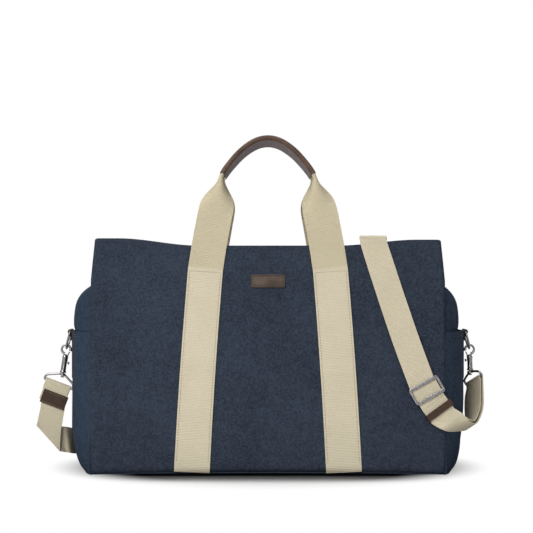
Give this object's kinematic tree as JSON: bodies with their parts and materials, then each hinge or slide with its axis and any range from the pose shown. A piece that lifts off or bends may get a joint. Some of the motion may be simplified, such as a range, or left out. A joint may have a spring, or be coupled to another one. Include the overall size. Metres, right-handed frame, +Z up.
{
  "type": "weekender bag",
  "caption": "Wide canvas weekender bag with leaning panels, recessed zip top, end slip pockets, webbing hand straps with leather grips and a clip-on shoulder strap.",
  "frame": {"origin": "middle of the base, on the floor", "axes": "+X along the bag's length, -Y is the front panel, +Z up"},
  "size_m": [0.6602, 0.2368, 0.4859],
  "materials": {
    "canvas": "washed navy canvas",
    "canvas_end": "washed navy canvas",
    "board": "stiffening board",
    "lining": "cotton lining",
    "webbing": "ribbed cotton webbing",
    "leather": "waxed brown leather",
    "nickel": "satin nickel plate",
    "zip_tape": "woven zip tape"
  },
  "bodies": {
    "bag": {"front_panel": "canvas", "back_panel": "canvas", "left_gusset": "canvas_end", "right_gusset": "canvas_end", "base_panel": "canvas", "base_board": "board", "lining": "lining", "left_end_pocket": "canvas_end", "right_end_pocket": "canvas_end", "left_zip_end": "zip_tape", "right_zip_end": "zip_tape", "front_left_strap": "webbing", "front_right_strap": "webbing", "back_left_strap": "webbing", "back_right_strap": "webbing", "front_patch": "leather", "left_ring_tab": "leather", "right_ring_tab": "leather", "shoulder_strap": "webbing", "strap_return": "webbing", "strap_end_patch": "leather", "left_bail": "nickel", "right_bail": "nickel"},
    "front_handle": {"front_handle_webbing": "webbing", "front_grip": "leather"},
    "front_flap": {"front_zip_flap": "canvas", "front_zip_tape": "zip_tape", "front_zip_teeth": "nickel"},
    "back_handle": {"back_handle_webbing": "webbing", "back_grip": "leather"},
    "back_flap": {"back_zip_flap": "canvas", "back_zip_tape": "zip_tape", "back_zip_teeth": "nickel"},
    "zip_slider": {"zip_slider": "nickel"},
    "zip_pull": {"zip_pull": "nickel"},
    "left_ring": {"left_d_ring": "nickel"},
    "left_hook": {"left_hook": "nickel", "left_bolt_spring": "nickel"},
    "left_bolt": {"left_bolt": "nickel"},
    "right_ring": {"right_d_ring": "nickel"},
    "right_hook": {"right_hook": "nickel", "right_bolt_spring": "nickel"},
    "right_bolt": {"right_bolt": "nickel"},
    "strap_buckle": {"strap_buckle": "nickel"},
    "strap_keeper": {"strap_keeper": "leather"}
  },
  "joints": [
    {"name": "front_handle_fold", "type": "hinge", "parent": "bag", "child": "front_handle", "pos_m": [0, -0.06761, 0.289], "axis": [1, 0, 0], "range_deg": [0, 150]},
    {"name": "front_flap_lift", "type": "hinge", "parent": "bag", "child": "front_flap", "pos_m": [0, -0.0655, 0.2665], "axis": [1, 0, 0], "range_deg": [0, 76]},
    {"name": "back_handle_fold", "type": "hinge", "parent": "bag", "child": "back_handle", "pos_m": [0, 0.06761, 0.289], "axis": [-1, 0, 0], "range_deg": [0, 150]},
    {"name": "back_flap_lift", "type": "hinge", "parent": "bag", "child": "back_flap", "pos_m": [0, 0.0655, 0.2665], "axis": [-1, 0, 0], "range_deg": [0, 76]},
    {"name": "zip_run", "type": "slide", "parent": "bag", "child": "zip_slider", "axis": [-1, 0, 0], "range_m": [0, 0.474]},
    {"name": "zip_pull_turn", "type": "hinge", "parent": "zip_slider", "child": "zip_pull", "pos_m": [0.237, 0, 0.2699], "axis": [0, -1, 0], "range_deg": [0, 170]},
    {"name": "left_ring_swing", "type": "hinge", "parent": "bag", "child": "left_ring", "pos_m": [-0.2912, 0, 0.198], "axis": [0, 1, 0], "range_deg": [-5, 5]},
    {"name": "left_hook_swivel", "type": "hinge", "parent": "bag", "child": "left_hook", "pos_m": [-0.3037, 0, 0.135], "axis": [0.1418, 0, 0.9899], "range_deg": [-20, 20]},
    {"name": "left_bolt_slide", "type": "slide", "parent": "left_hook", "child": "left_bolt", "axis": [-0.1418, 0, -0.9899], "range_m": [0, 0.004], "stiffness_N_per_m": 300, "springref_m": -0.002, "deforming": ["left_bolt_spring"]},
    {"name": "right_ring_swing", "type": "hinge", "parent": "bag", "child": "right_ring", "pos_m": [0.2912, 0, 0.198], "axis": [0, 1, 0], "range_deg": [-5, 5]},
    {"name": "right_hook_swivel", "type": "hinge", "parent": "bag", "child": "right_hook", "pos_m": [0.2994, 0, 0.1385], "axis": [-0.0274, 0, 0.9996], "range_deg": [-20, 20]},
    {"name": "right_bolt_slide", "type": "slide", "parent": "right_hook", "child": "right_bolt", "axis": [0.0274, 0, -0.9996], "range_m": [0, 0.004], "stiffness_N_per_m": 300, "springref_m": -0.002, "deforming": ["right_bolt_spring"]},
    {"name": "buckle_slide", "type": "slide", "parent": "bag", "child": "strap_buckle", "axis": [-0.4848, 0.148, 0.862], "range_m": [0, 0.015]},
    {"name": "keeper_slide", "type": "slide", "parent": "bag", "child": "strap_keeper", "axis": [-0.5878, 0.1369, 0.7973], "range_m": [0, 0.006]}
  ]
}
